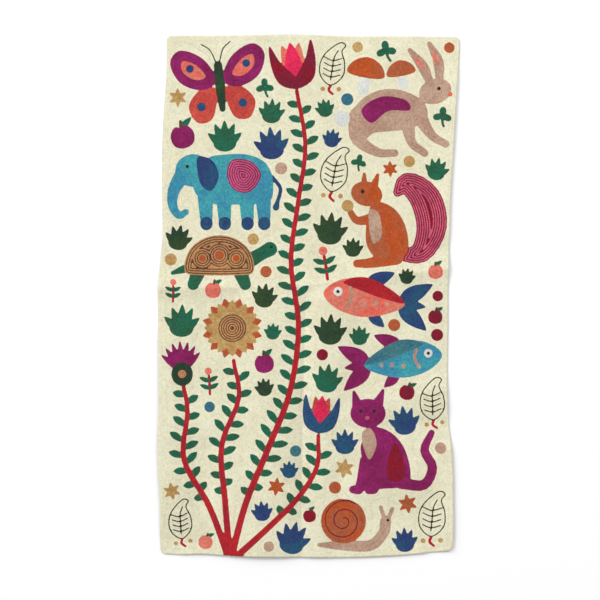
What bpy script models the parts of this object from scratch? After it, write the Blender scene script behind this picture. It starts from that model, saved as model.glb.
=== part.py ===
# Chain stitch rug, laid flat after being folded in quarters.
# Run it with: blender --background --python part.py, or from Blender's text editor.
# Metres, +Z up, +Y towards the rug's top edge, origin at the middle of its footprint.

import bpy
import numpy as np

# Driving dimensions of the stitched cloth
LENGTH = 1.520        # mean length, bottom edge to top edge
WIDTH = 0.850         # mean width
THICKNESS = 0.0040    # wool chain stitch on its cotton ground cloth
EDGE_ROLL = 0.0016    # how far the turned edge rounds in, above and below
CORNER = 0.014        # length of the rounded stretch at each corner
CORNER_CUT = 0.0042   # how far each corner is drawn in, along both edges
LONG_FOLD = 0.487     # where the long fold runs, as a fraction of the width from the left
CROSS_FOLD = 0.519    # where the cross fold runs, as a fraction of the length from the bottom
CELLS_ACROSS = (15, 15)   # mesh cells from corner cell to fold, and from fold to corner cell
CELLS_ALONG = (27, 25)

# How far the left and right edges stand out from the mean rectangle.
# at: fraction of the length from the bottom edge; left, right: metres, outward positive.
SIDE_SECTIONS = (
    {"at": 0.00, "left": -0.0030, "right": 0.0005},
    {"at": 0.03, "left": 0.0000, "right": 0.0060},
    {"at": 0.10, "left": -0.0008, "right": 0.0066},
    {"at": 0.15, "left": 0.0040, "right": 0.0058},
    {"at": 0.22, "left": 0.0066, "right": -0.0004},
    {"at": 0.26, "left": 0.0042, "right": -0.0072},
    {"at": 0.30, "left": 0.0034, "right": -0.0106},
    {"at": 0.36, "left": 0.0034, "right": -0.0108},
    {"at": 0.44, "left": 0.0050, "right": -0.0086},
    {"at": 0.51, "left": 0.0052, "right": -0.0082},
    {"at": 0.56, "left": 0.0002, "right": -0.0066},
    {"at": 0.61, "left": -0.0064, "right": -0.0050},
    {"at": 0.68, "left": -0.0062, "right": -0.0022},
    {"at": 0.79, "left": -0.0066, "right": 0.0078},
    {"at": 0.86, "left": -0.0116, "right": 0.0142},
    {"at": 0.92, "left": -0.0180, "right": 0.0196},
    {"at": 0.98, "left": -0.0200, "right": 0.0252},
    {"at": 1.00, "left": -0.0196, "right": 0.0246},
)

# How far the bottom and top edges stand out from the mean rectangle.
# at: fraction of the width from the left edge; bottom, top: metres, outward positive.
END_SECTIONS = (
    {"at": 0.00, "bottom": -0.0050, "top": -0.0020},
    {"at": 0.05, "bottom": -0.0024, "top": 0.0000},
    {"at": 0.12, "bottom": -0.0046, "top": 0.0004},
    {"at": 0.26, "bottom": 0.0012, "top": 0.0010},
    {"at": 0.38, "bottom": 0.0036, "top": 0.0034},
    {"at": 0.48, "bottom": 0.0044, "top": 0.0046},
    {"at": 0.57, "bottom": 0.0056, "top": 0.0014},
    {"at": 0.66, "bottom": 0.0050, "top": -0.0016},
    {"at": 0.80, "bottom": 0.0002, "top": -0.0016},
    {"at": 0.92, "bottom": -0.0078, "top": -0.0022},
    {"at": 1.00, "bottom": -0.0150, "top": -0.0035},
)

# The side of a ridge, as the powers in (1 - t^first)^second while t goes from 0 at the
# crest to 1 at the foot: round ones have neither crease nor edge, creased ones meet the
# surface at an angle, sharp ones have their angle at the crest.
SIDE_FORMS = {"round": (2, 2), "creased": (2, 1), "sharp": (1, 2)}

# Where the folds still hold the cloth off the surface, as ridges.
# start, end: the ridge's crest; left, right: how far it falls to the surface on each
# side, seen from start to end; fade: how far it runs out past its ends; height: lift;
# forms: those of its left and right side.
FOLD_RIDGES = (
    {"name": "cross fold, left half", "start": (-0.430, 0.022), "end": (-0.012, 0.026),
     "left": 0.090, "right": 0.065, "fade": 0.035, "height": 0.0062, "forms": ("sharp", "sharp")},
    {"name": "cross fold, right half", "start": (0.000, 0.030), "end": (0.430, 0.082),
     "left": 0.085, "right": 0.065, "fade": 0.035, "height": 0.0056, "forms": ("sharp", "sharp")},
    {"name": "long fold, left lip", "start": (-0.127, -0.010), "end": (-0.139, -0.790),
     "left": 0.1155, "right": 0.130, "fade": 0.050, "height": 0.0105, "forms": ("creased", "round")},
    {"name": "long fold, right lip", "start": (0.0575, -0.010), "end": (0.053, -0.290),
     "left": 0.120, "right": 0.069, "fade": 0.055, "height": 0.0088, "forms": ("round", "creased")},
    {"name": "long fold, right lip at the foot", "start": (0.028, -0.350), "end": (0.0215, -0.790),
     "left": 0.085, "right": 0.045, "fade": 0.055, "height": 0.0040, "forms": ("round", "creased")},
    {"name": "long fold, upper half", "start": (-0.012, 0.120), "end": (-0.030, 0.360),
     "left": 0.060, "right": 0.060, "fade": 0.070, "height": 0.0022, "forms": ("round", "round")},
    {"name": "quarter fold, left", "start": (-0.450, -0.385), "end": (-0.230, -0.395),
     "left": 0.110, "right": 0.065, "fade": 0.070, "height": 0.0040, "forms": ("round", "round")},
    {"name": "quarter fold, right", "start": (0.130, -0.325), "end": (0.420, -0.318),
     "left": 0.110, "right": 0.060, "fade": 0.060, "height": 0.0038, "forms": ("round", "round")},
    {"name": "slack left of the long fold", "start": (-0.240, -0.480), "end": (-0.220, -0.780),
     "left": 0.150, "right": 0.080, "fade": 0.050, "height": 0.0050, "forms": ("round", "round")},
    {"name": "slack at the lower right", "start": (0.140, -0.560), "end": (0.360, -0.530),
     "left": 0.090, "right": 0.110, "fade": 0.060, "height": 0.0040, "forms": ("round", "round")},
    {"name": "slack at the upper left", "start": (-0.250, 0.600), "end": (-0.170, 0.440),
     "left": 0.070, "right": 0.090, "fade": 0.060, "height": 0.0022, "forms": ("round", "round")},
    {"name": "left edge lifted", "start": (-0.435, -0.160), "end": (-0.435, -0.630),
     "left": 0.115, "right": 0.080, "fade": 0.090, "height": 0.0076, "forms": ("round", "round")},
    {"name": "right edge lifted, low", "start": (0.425, -0.460), "end": (0.425, -0.740),
     "left": 0.060, "right": 0.075, "fade": 0.050, "height": 0.0040, "forms": ("round", "round")},
    {"name": "right edge lifted, high", "start": (0.440, 0.620), "end": (0.425, 0.200),
     "left": 0.060, "right": 0.070, "fade": 0.080, "height": 0.0036, "forms": ("round", "round")},
    {"name": "bottom edge lifted", "start": (-0.350, -0.765), "end": (0.320, -0.765),
     "left": 0.045, "right": 0.060, "fade": 0.050, "height": 0.0034, "forms": ("round", "round")},
)
HEIGHT_LIMIT = 0.0105   # crossing ridges level off below this

WOOL_COLOUR = (0.80, 0.77, 0.58)


def clear_scene():
    for thing in list(bpy.data.objects):
        bpy.data.objects.remove(thing, do_unlink=True)


def smooth_table(sections, column, where):
    # A cubic through the table's rows, its slope at each row taken from its neighbours.
    at = np.array([row["at"] for row in sections])
    value = np.array([row[column] for row in sections])
    slope = np.gradient(value, at)
    index = np.clip(np.searchsorted(at, where, side="right") - 1, 0, len(at) - 2)
    span = at[index + 1] - at[index]
    t = (where - at[index]) / span
    return ((2 * t ** 3 - 3 * t ** 2 + 1) * value[index]
            + (t ** 3 - 2 * t ** 2 + t) * span * slope[index]
            + (3 * t ** 2 - 2 * t ** 3) * value[index + 1]
            + (t ** 3 - t ** 2) * span * slope[index + 1])


def ridge_lift(x, y, row):
    # One ridge: each side falls by its own form, and both ends fade as a raised cosine.
    start = np.array(row["start"])
    run = np.array(row["end"]) - start
    length = np.hypot(*run)
    run = run / length
    along = (x - start[0]) * run[0] + (y - start[1]) * run[1]
    across = (y - start[1]) * run[0] - (x - start[0]) * run[1]
    (first_left, second_left), (first_right, second_right) = (SIDE_FORMS[form] for form in row["forms"])
    left = (1 - np.clip(across / row["left"], 0, 1) ** first_left) ** second_left
    right = (1 - np.clip(-across / row["right"], 0, 1) ** first_right) ** second_right
    beyond = np.clip(np.maximum(-along, along - length) / row["fade"], 0, 1)
    return row["height"] * left * right * (0.5 + 0.5 * np.cos(np.pi * beyond))


def surface_lift(x, y):
    # The height of the cloth's underside: the ridges' squares are summed, so that
    # crossing ridges blend, and the sum levels off at the limit.
    total = np.zeros_like(x)
    for row in FOLD_RIDGES:
        total = total + ridge_lift(x, y, row) ** 2
    lift = np.sqrt(total)
    return HEIGHT_LIMIT * np.tanh(lift / HEIGHT_LIMIT)


def grid_fractions(cells, fold, length):
    # Fractions along one direction: a short cell at each corner, even ones from there
    # to the fold on both sides of it.
    corner = CORNER / length
    before = np.linspace(corner, fold, cells[0] + 1)
    after = np.linspace(fold, 1 - corner, cells[1] + 1)
    return np.concatenate(([0.0], before, after[1:], [1.0]))


def outline_point(u, v):
    # A place in the unit square, laid on the rug's uneven outline.
    left = -WIDTH / 2 - smooth_table(SIDE_SECTIONS, "left", v)
    right = WIDTH / 2 + smooth_table(SIDE_SECTIONS, "right", v)
    bottom = -LENGTH / 2 - smooth_table(END_SECTIONS, "bottom", u)
    top = LENGTH / 2 + smooth_table(END_SECTIONS, "top", u)
    return left + (right - left) * u, bottom + (top - bottom) * v


def footprint_middle():
    # The middle of the outline's own bounding box.
    edge = np.linspace(0, 1, 201)
    zero, one = np.zeros_like(edge), np.ones_like(edge)
    x, y = outline_point(np.concatenate([edge, edge, zero, one]), np.concatenate([zero, one, edge, edge]))
    return (x.min() + x.max()) / 2, (y.min() + y.max()) / 2


def rug_layers():
    # Three layers of one grid: the underside, the mid layer and the stitched face.
    # Only the mid layer's rim is used: it is the turned edge's furthest line.
    u, v = np.meshgrid(grid_fractions(CELLS_ACROSS, LONG_FOLD, WIDTH),
                       grid_fractions(CELLS_ALONG, CROSS_FOLD, LENGTH))
    x, y = outline_point(u, v)
    corner_u = np.where(u < 0.5, 1.0, -1.0) * np.isin(u, (0, 1)) * np.isin(v, (0, 1))
    corner_v = np.where(v < 0.5, 1.0, -1.0) * np.isin(u, (0, 1)) * np.isin(v, (0, 1))
    middle_x, middle_y = footprint_middle()
    x = x - middle_x + CORNER_CUT * corner_u
    y = y - middle_y + CORNER_CUT * corner_v
    inward_x = np.where(u == 0, 1.0, np.where(u == 1, -1.0, 0.0)) * EDGE_ROLL
    inward_y = np.where(v == 0, 1.0, np.where(v == 1, -1.0, 0.0)) * EDGE_ROLL
    lift = surface_lift(x, y)
    under = np.stack([x + inward_x, y + inward_y, lift], axis=-1)
    rim = np.stack([x, y, lift + THICKNESS / 2], axis=-1)
    face = np.stack([x + inward_x, y + inward_y, lift + THICKNESS], axis=-1)
    return under, rim, face


def rim_walk(rows, columns):
    # The grid's border as indices, once round, counter-clockwise seen from above.
    bottom = [(0, c) for c in range(columns - 1)]
    right = [(r, columns - 1) for r in range(rows - 1)]
    top = [(rows - 1, c) for c in range(columns - 1, 0, -1)]
    left = [(r, 0) for r in range(rows - 1, 0, -1)]
    return bottom + right + top + left


def rug_mesh():
    under, rim, face = rug_layers()
    rows, columns = under.shape[:2]
    layer_size = rows * columns
    border = rim_walk(rows, columns)
    points = np.concatenate([under.reshape(-1, 3), face.reshape(-1, 3),
                             np.array([rim[place] for place in border])])
    faces = []
    for r in range(rows - 1):
        for c in range(columns - 1):
            a = r * columns + c
            quad = (a, a + 1, a + columns + 1, a + columns)
            faces.append(tuple(layer_size + k for k in quad))
            faces.append(tuple(reversed(quad)))
    for k, (r, c) in enumerate(border):
        nr, nc = border[(k + 1) % len(border)]
        low, low_next = r * columns + c, nr * columns + nc
        high, high_next = layer_size + low, layer_size + low_next
        mid = 2 * layer_size + k
        mid_next = 2 * layer_size + (k + 1) % len(border)
        faces.append((low, low_next, mid_next, mid))
        faces.append((mid, mid_next, high_next, high))
    mesh = bpy.data.meshes.new("rug")
    mesh.from_pydata(points.tolist(), [], faces)
    mesh.validate()
    mesh.shade_smooth()
    return mesh


def wool_material():
    material = bpy.data.materials.new("rug_wool")
    material.use_nodes = True
    shader = material.node_tree.nodes["Principled BSDF"]
    shader.inputs["Base Color"].default_value = (*WOOL_COLOUR, 1)
    shader.inputs["Roughness"].default_value = 0.95
    shader.inputs["Metallic"].default_value = 0.0
    return material


def build_rug():
    rug = bpy.data.objects.new("rug", rug_mesh())
    rug.data.materials.append(wool_material())
    bpy.context.scene.collection.objects.link(rug)
    return rug


clear_scene()
build_rug()
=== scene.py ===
# Chain stitch rug, its looks: the ground cloth, the rows of wool chain stitch that
# cover it, the studio floor, the light and the camera straight above it.
from functools import partial
import bpy
import numpy as np
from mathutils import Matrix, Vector


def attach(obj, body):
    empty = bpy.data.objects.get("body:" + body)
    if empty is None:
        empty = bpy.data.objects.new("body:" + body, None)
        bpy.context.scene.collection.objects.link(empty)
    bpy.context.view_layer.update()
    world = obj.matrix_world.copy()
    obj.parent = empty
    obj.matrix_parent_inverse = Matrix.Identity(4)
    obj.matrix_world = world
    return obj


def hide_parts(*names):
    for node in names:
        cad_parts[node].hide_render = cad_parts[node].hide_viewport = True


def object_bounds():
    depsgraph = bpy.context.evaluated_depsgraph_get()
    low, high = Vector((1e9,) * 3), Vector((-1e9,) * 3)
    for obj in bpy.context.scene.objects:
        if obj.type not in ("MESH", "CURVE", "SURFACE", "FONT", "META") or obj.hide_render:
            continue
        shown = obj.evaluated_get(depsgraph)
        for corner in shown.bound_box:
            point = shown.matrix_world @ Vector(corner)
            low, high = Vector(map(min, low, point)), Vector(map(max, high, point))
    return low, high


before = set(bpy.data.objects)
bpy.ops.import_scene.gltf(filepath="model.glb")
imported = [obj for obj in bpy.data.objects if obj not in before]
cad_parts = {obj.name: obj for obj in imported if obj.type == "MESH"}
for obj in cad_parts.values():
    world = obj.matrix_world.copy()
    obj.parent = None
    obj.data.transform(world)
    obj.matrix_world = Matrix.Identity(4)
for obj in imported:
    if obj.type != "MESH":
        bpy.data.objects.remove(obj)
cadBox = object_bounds()
print("frame loaded, rug box", [[round(v, 4) for v in corner] for corner in cadBox])

draws = np.random.default_rng(41)

# The cloth's outline and folds, in metres, as it lies.

cloth = {
    "length": 1.520,
    "width": 0.850,
    "corner": 0.012,       # radius of the rounded corners
    "ground": 0.0014,      # thickness of the cotton ground cloth
    "roll": 0.0015,        # how far the turned edge rounds in
    "across": 116,         # mesh cells
    "along": 208,
    "liftLimit": 0.0105,
    # fraction of the length from the bottom, left edge outward, right edge outward
    "sides": ((0.00, -.0030, .0005), (0.03, .0000, .0060), (0.10, -.0008, .0066), (0.15, .0040, .0058),
              (0.22, .0066, -.0004), (0.26, .0042, -.0072), (0.30, .0034, -.0106), (0.36, .0034, -.0108),
              (0.44, .0050, -.0086), (0.51, .0052, -.0082), (0.56, .0002, -.0066), (0.61, -.0064, -.0050),
              (0.68, -.0062, -.0022), (0.79, -.0066, .0078), (0.86, -.0116, .0142), (0.92, -.0180, .0196),
              (0.98, -.0200, .0252), (1.00, -.0196, .0246)),
    # fraction of the width from the left, bottom edge outward, top edge outward
    "ends": ((0.00, -.0050, -.0020), (0.05, -.0024, .0000), (0.12, -.0046, .0004), (0.26, .0012, .0010),
             (0.38, .0036, .0034), (0.48, .0044, .0046), (0.57, .0056, .0014), (0.66, .0050, -.0016),
             (0.80, .0002, -.0016), (0.92, -.0078, -.0022), (1.00, -.0150, -.0035)),
    # a side's powers in (1 - t^first)^second: round, creased at its foot, sharp at its crest
    "forms": ((2, 2), (2, 1), (1, 2)),
    # crest from x, y to x, y, fall to the left and right of it, run-out, height, both forms:
    # cross fold, lips of the long fold, its upper half, quarter folds, slack, lifted edges
    "ridges": (
        (-.430, .022, -.012, .026, .090, .065, .035, .0062, 2, 2),
        (.000, .030, .430, .082, .085, .065, .035, .0056, 2, 2),
        (-.127, -.010, -.139, -.790, .1155, .130, .050, .0105, 1, 0),
        (.0575, -.010, .053, -.290, .120, .069, .055, .0088, 0, 1),
        (.028, -.350, .0215, -.790, .085, .045, .055, .0040, 0, 1),
        (-.012, .120, -.030, .360, .060, .060, .070, .0022, 0, 0),
        (-.450, -.385, -.230, -.395, .110, .065, .070, .0040, 0, 0),
        (.130, -.325, .420, -.318, .110, .060, .060, .0038, 0, 0),
        (-.240, -.480, -.220, -.780, .150, .080, .050, .0050, 0, 0),
        (.140, -.560, .360, -.530, .090, .110, .060, .0040, 0, 0),
        (-.250, .600, -.170, .440, .070, .090, .060, .0022, 0, 0),
        (-.435, -.160, -.435, -.630, .115, .080, .090, .0076, 0, 0),
        (.425, -.460, .425, -.740, .060, .075, .050, .0040, 0, 0),
        (.440, .620, .425, .200, .060, .070, .080, .0036, 0, 0),
        (-.350, -.765, .320, -.765, .045, .060, .050, .0034, 0, 0)),
}


def tableCurve(table, column, where):
    # A cubic through the table's rows, its slope at each row taken from its neighbours.
    rows = np.array(table)
    at, value = rows[:, 0], rows[:, column]
    slope = np.gradient(value, at)
    index = np.clip(np.searchsorted(at, where, side="right") - 1, 0, len(at) - 2)
    span = at[index + 1] - at[index]
    t = (where - at[index]) / span
    ends = (2 * t ** 3 - 3 * t ** 2 + 1) * value[index] + (3 * t ** 2 - 2 * t ** 3) * value[index + 1]
    lean = (t ** 3 - 2 * t ** 2 + t) * slope[index] + (t ** 3 - t ** 2) * slope[index + 1]
    return ends + span * lean


def outlineEdges(u, v):
    # Where the left and right edges lie at v, and the bottom and top ones at u.
    w, h = cloth["width"] / 2, cloth["length"] / 2
    return (-w - tableCurve(cloth["sides"], 1, v), w + tableCurve(cloth["sides"], 2, v),
            -h - tableCurve(cloth["ends"], 1, u), h + tableCurve(cloth["ends"], 2, u))


def outlinePoint(u, v):
    # Straight lines between the two side edges and between the two end edges.
    left, right, bottom, top = outlineEdges(u, v)
    return left + (right - left) * u, bottom + (top - bottom) * v


def outlineMiddle():
    # The middle of the outline's box, which the frame's origin stands under.
    edge = np.linspace(0, 1, 201)
    zero, one = np.zeros_like(edge), np.ones_like(edge)
    x, y = outlinePoint(np.concatenate([edge, edge, zero, one]), np.concatenate([zero, one, edge, edge]))
    return (x.min() + x.max()) / 2, (y.min() + y.max()) / 2


middleX, middleY = outlineMiddle()


def edgeDepth(x, y):
    # How far inside the outline a place is: the least of its distances to the four
    # edges, rounded within one radius of a corner.
    x, y = x + middleX, y + middleY
    u, v = np.clip(x / cloth["width"] + 0.5, 0, 1), np.clip(y / cloth["length"] + 0.5, 0, 1)
    left, right, bottom, top = outlineEdges(u, v)
    side, end = np.minimum(x - left, right - x), np.minimum(y - bottom, top - y)
    r = cloth["corner"]
    rounded = r - np.hypot(r - side, r - end)
    return np.where((side < r) & (end < r), rounded, np.minimum(side, end))


def clothLift(x, y):
    # Height of the underside: each side of a ridge falls by its form, (1 - t^a)^b, and
    # its ends fade as a raised cosine. The ridges' squares are summed and level off.
    total = np.zeros_like(x)
    for x0, y0, x1, y1, fallLeft, fallRight, fade, height, formLeft, formRight in cloth["ridges"]:
        length = np.hypot(x1 - x0, y1 - y0)
        rx, ry = (x1 - x0) / length, (y1 - y0) / length
        along = (x - x0) * rx + (y - y0) * ry
        across = (y - y0) * rx - (x - x0) * ry
        beyond = np.clip(np.maximum(-along, along - length) / fade, 0, 1)
        lift = height * (0.5 + 0.5 * np.cos(np.pi * beyond))
        for side, form in ((across / fallLeft, formLeft), (-across / fallRight, formRight)):
            a, b = cloth["forms"][form]
            lift = lift * (1 - np.clip(side, 0, 1) ** a) ** b
        total += lift ** 2
    limit = cloth["liftLimit"]
    return limit * np.tanh(np.sqrt(total) / limit)


# Drawing tools for the pattern, in centimetres.

def smoothCurve(points, closed=True, per=7):
    # Catmull-Rom: between two points runs a cubic whose end slopes are half the step
    # from the point before to the point after.
    p = np.asarray(points, float)
    if closed:
        a, b, c, d = np.roll(p, 1, 0), p, np.roll(p, -1, 0), np.roll(p, -2, 0)
    else:
        long = np.vstack([2 * p[:1] - p[1:2], p, 2 * p[-1:] - p[-2:-1]])
        a, b, c, d = long[:-3], long[1:-2], long[2:-1], long[3:]
    a, b, c, d = (q[:, None, :] for q in (a, b, c, d))
    t = (np.arange(per) / per)[None, :, None]
    curve = 2 * b + (c - a) * t + (2 * a - 5 * b + 4 * c - d) * t ** 2 + (3 * b - a - 3 * c + d) * t ** 3
    curve = curve.reshape(-1, p.shape[1]) / 2
    return curve if closed else np.vstack([curve, p[-1:]])


def blob(*points):
    return ("blob", smoothCurve(points))


def mirrored(foot, side, head):
    # A blob from its foot along one side to its head and back along the same side mirrored.
    return blob(foot, *side, head, *[(-x, y) for x, y in side[::-1]])


def stroke(*points):
    return ("stroke", smoothCurve(points, closed=False, per=4))


def drawn(*points, closed=False):
    return ("closedLine" if closed else "line", smoothCurve(points, closed=closed, per=6))


def oval(x, y, rx, ry, turn=0.0):
    # An ellipse, turned by an angle in degrees.
    a = np.linspace(0, 2 * np.pi, 28, endpoint=False)
    c, s = np.cos(np.radians(turn)), np.sin(np.radians(turn))
    return ("blob", np.stack([x + rx * np.cos(a) * c - ry * np.sin(a) * s,
                              y + rx * np.cos(a) * s + ry * np.sin(a) * c], 1))


def spot(x, y, r):
    return oval(x, y, r, r)


def leaf(x0, y0, x1, y1, width, bulge=0.8, bend=0.0):
    # From base to tip, the half width follows the sine of pi times t to the bulge,
    # about an axis that bows sideways by bend.
    t = np.linspace(0, 1, 13)
    half = 0.5 * width * np.sin(np.pi * t ** bulge) ** 0.85
    bow = bend * np.sin(np.pi * t)
    dx, dy = x1 - x0, y1 - y0
    nx, ny = -dy / np.hypot(dx, dy), dx / np.hypot(dx, dy)
    one, two = (np.stack([x0 + dx * t + nx * (bow + s * half), y0 + dy * t + ny * (bow + s * half)], 1)
                for s in (1, -1))
    return ("blob", np.vstack([one, two[-2:0:-1]]))


# The figures, each about its own middle: yarn or alternating yarns, then shapes.

def elephant():
    stand = (-5.9, -.4, 6.4, 11.4)
    feet = [stroke((x, -10.9, 1.85), (x, -11.2, 1.85)) for x in stand]
    legs = [stroke((x - .3, -3.4, 2.3), (x, -10, 1.85)) for x in stand]
    return [
        ("navy", [stroke((13.6, 3, .6), (16.2, -.5, .55), (15.4, -4.4, .6), (14.9, -6.2, 1))]),
        ("turquoise", legs + [
            blob((-6, 8.2), (0, 9.6), (7, 9.4), (12, 6.8), (14, 1.5), (13, -4.5), (6, -5.2), (-2, -5.4),
                 (-8, -3.5), (-10, 2)),
            oval(-9.8, 4.8, 5.4, 4.9),
            stroke((-13, 3.5, 2.4), (-15.6, -1, 1.8), (-16, -5.5, 1.4), (-14.2, -8.6, 1.1),
                   (-12, -7.6, .9))]),
        ("navy", feet + [blob((-8.4, 8.9), (-4.2, 7.8), (-2.2, 3.2), (-4.4, -1.2), (-7.4, .4),
                              (-8.6, 4.6))]),
        (("magenta", "rose"), [blob((2, 8), (7.6, 7.4), (10.4, 3.2), (7, -1.6), (2.2, -.8), (.2, 3.8))]),
        ("dark", [spot(-11.6, 6, .55)]),
    ]


def hare():
    return [
        ("taupe", [
            blob((-11.5, -1), (-8, 4.6), (-2, 7.2), (4, 6.4), (8.6, 3.4), (9, -1), (4, -3.4), (-3, -4.2),
                 (-9, -4.8)),
            oval(11.4, 6.6, 4.4, 3.3, 18),
            stroke((10.2, 8.6, 1), (8, 13.4, 1.4), (4.6, 17.6, .6)),
            stroke((12.6, 9.4, 1), (12.2, 14.6, 1.4), (9.8, 19.4, .6)),
            stroke((7.2, 0, 2), (10.4, -5, 1.2), (14.2, -7.4, 1)),
            stroke((4, -1.4, 2), (5.2, -7, 1.2), (8.6, -9.8, 1)),
            stroke((-7.6, -1, 4.2), (-9, -6, 2), (-4, -9.6, 1.2), (.6, -9.8, 1))]),
        ("paleGrey", [spot(-13.4, -.6, 2.1)]),
        ("magenta", [blob((-8.2, 1.8), (-3, 5.2), (3.4, 4.4), (4.6, 1.6), (-1, 1.4), (-5.6, -1.8))]),
        ("coral", [spot(15.4, 5.8, .62), leaf(8.4, 12.6, 5.6, 16.4, 1.1),
                   leaf(12.3, 13.4, 10.6, 17.8, 1.1)]),
        ("dark", [spot(12.4, 7.4, .5)]),
    ]


def squirrel():
    return [
        (("crimson", "rose"), [stroke((3.4, -8.4, 1.4), (8.6, -7.4, 2.7), (11.2, -1, 3.8), (9.6, 6, 3.9),
                                      (5.2, 9.8, 2.7), (2.6, 7.6, 1.1))]),
        ("rust", [
            blob((-3.4, 5), (1.6, 3.6), (4.8, -1.6), (4.8, -8), (-1, -10), (-5, -6.2), (-5.2, 0)),
            oval(-5.2, 7.2, 4, 3.1, -14),
            stroke((-3.4, 9, 1.1), (-2.4, 12, .4)),
            stroke((-5.8, 9.4, .9), (-5.8, 12.2, .4)),
            stroke((-3, 1.2, 1.5), (-7.4, .4, 1), (-9.2, 2.4, .8)),
            stroke((2, -8.6, 2.2), (-4, -10.2, 1.3), (-7.6, -10.4, 1))]),
        ("taupe", [blob((-4.4, 3.2), (-2, 2), (-1.4, -3.4), (-3.6, -5.2), (-4.6, -1))]),
        ("ochre", [spot(-10, 4.2, 1.5)]),
        ("dark", [spot(-6.2, 7.8, .5)]),
    ]


def cat():
    return [
        ("magenta", [
            blob((-3, 5.6), (2.4, 4.2), (6.2, -1), (6.8, -8.6), (0, -10), (-5.6, -9.6), (-5, -4),
                 (-5.4, 1.2)),
            oval(-3.6, 9.2, 4.5, 3.7),
            stroke((-6.2, 11, 1.5), (-7.2, 14.6, .4)),
            stroke((-1.2, 11.4, 1.5), (.2, 15, .4)),
            stroke((5, -8.6, 1.5), (10.6, -9, 1.3), (12.8, -4.6, 1.2), (10.8, -.2, 1.1),
                   (12.6, 4.2, .8)),
            stroke((-4.4, -3, 1.3), (-5.6, -9.6, 1.3), (-7.4, -10.2, 1)),
            stroke((-1.6, -4, 1.3), (-1.8, -9.6, 1.2), (-3.4, -10.4, 1))]),
        ("taupe", [blob((-5, 4.4), (-2.8, 5.2), (-1.4, 1.4), (-3.2, -2.6), (-4.8, .8))]),
        ("crimson", [blob((3.2, 1.6), (5.4, -2.4), (5.4, -7.4), (1.8, -7.8), (1.4, -3.4))]),
        ("dark", [spot(-5.4, 9.8, .45), spot(-2, 9.8, .45)]),
        ("rose", [spot(-3.8, 8, .55)]),
    ]


def fish(body="coral", back="red", fins="navy"):
    return [
        (fins, [leaf(7.6, .6, 15.4, 6, 4.2, .7), leaf(7.6, -.6, 15.4, -6, 4.2, .7),
                leaf(9, 0, 14.4, 0, 2.2, .8), leaf(-2, 3.4, 5.4, 7.6, 3.6, .8),
                leaf(0, -3.4, 4.6, -6.6, 2.8, .8)]),
        (body, [blob((-12, 0), (-8.6, 3.6), (-2, 5.4), (4.6, 3.4), (9, 0), (4.6, -3.2), (-2, -4.8),
                     (-8.6, -3.4))]),
        (back, [blob((-7.4, 3.4), (-2, 5.3), (4.4, 3.3), (8.8, .2), (3.2, .6), (-3.2, 2))]),
        ("paleGrey", [spot(-8.4, .8, 1.15)]),
        ("dark", [spot(-8.4, .8, .45)]),
        ("taupe", [stroke((-5.4, 2.2, .42), (-4.6, 0, .42), (-5.6, -2.6, .42)), spot(-1.4, -1.6, .62),
                   spot(1.6, -.9, .62), spot(4.4, -.6, .55)]),
    ]


def tortoise():
    legs = [stroke((s * 5.2, -1.5, 2), (s * 6.8, -5.4, 1.5)) for s in (-1, 1)]
    return [
        ("leafGreen", legs + [stroke((7, .2, 2), (11, 2.6, 1.7), (13.2, 3.8, 1.9)),
                              stroke((-8, -1, 1.3), (-12.2, -2.4, .5))]),
        (("tan", "brown"), [blob((-9, -2), (-7.8, 3.6), (-3, 7), (3, 7), (7.8, 3.6), (9, -2), (5, -3),
                                 (-5, -3))]),
        ("rust", [spot(0, 2.2, 1.2), spot(-4.4, 1.4, .9), spot(4.4, 1.4, .9)]),
        ("dark", [spot(13.6, 4.4, .42)]),
    ]


def butterfly():
    layers = []
    for s in (1, -1):
        layers += [
            ("orangeRed", [blob((s, -1), (s * 5, -1), (s * 8, -4.6), (s * 6.4, -8.6), (s * 3, -8.4),
                                (s * 1.4, -5))]),
            ("magenta", [blob((s * .8, 1), (s * 3.4, 6.4), (s * 8.6, 9), (s * 11.4, 6.2), (s * 9.4, 1.2),
                              (s * 4.4, -1))]),
            ("coral", [blob((s * 3.2, 2.2), (s * 5.4, 5.2), (s * 8.4, 6.4), (s * 8.6, 3.8),
                            (s * 5.8, 1.6))]),
            ("navy", [spot(s * 6.8, 4.4, .95), spot(s * 5, -5, 1.05)]),
        ]
    feelers = [drawn((s * .4, 5.2), (s * 1.6, 8.4), (s * 3.6, 10)) for s in (1, -1)]
    return layers + [("darkGreen", [stroke((0, 4.6, 1), (0, -1, 1.15), (0, -6, .7))]), ("dark", feelers)]


def snail():
    # The shell's line is an even spiral: its radius grows with the angle.
    a = np.linspace(.2, 2.35, 40) * 2 * np.pi
    r = .25 + .36 * a
    spiral = ("line", np.stack([2 + r * np.cos(a), 1.8 + r * np.sin(a)], 1))
    return [
        ("taupe", [stroke((8.4, -4.4, .5), (2, -4.6, 1.3), (-5, -4.6, 1.4), (-8.4, -1.4, 1.4),
                          (-9, 1.4, 1.5)),
                   stroke((-8.8, 2, .6), (-7.8, 5.4, .5)), stroke((-9.6, 2, .6), (-10.8, 5, .5))]),
        ("rust", [spot(2, 1.8, 5.9)]),
        ("crimson", [spiral]),
        ("dark", [spot(-9.6, 2, .4)]),
    ]


# Flowers and other plants.

def bloom(petals=12, r=7.4):
    # Two rings of pointed petals, the back one half a petal round, and a banded heart.
    front = 2 * np.pi * np.arange(petals) / petals
    rings = []
    for turn, foot, tip in ((front + np.pi / petals, .40 * r, r), (front, .36 * r, .92 * r)):
        rings.append([leaf(foot * np.cos(t), foot * np.sin(t), tip * np.cos(t), tip * np.sin(t), .33 * r)
                      for t in turn])
    return [("rust", rings[0]), ("ochre", rings[1]), (("brown", "tan"), [spot(0, 0, .45 * r)])]


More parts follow.
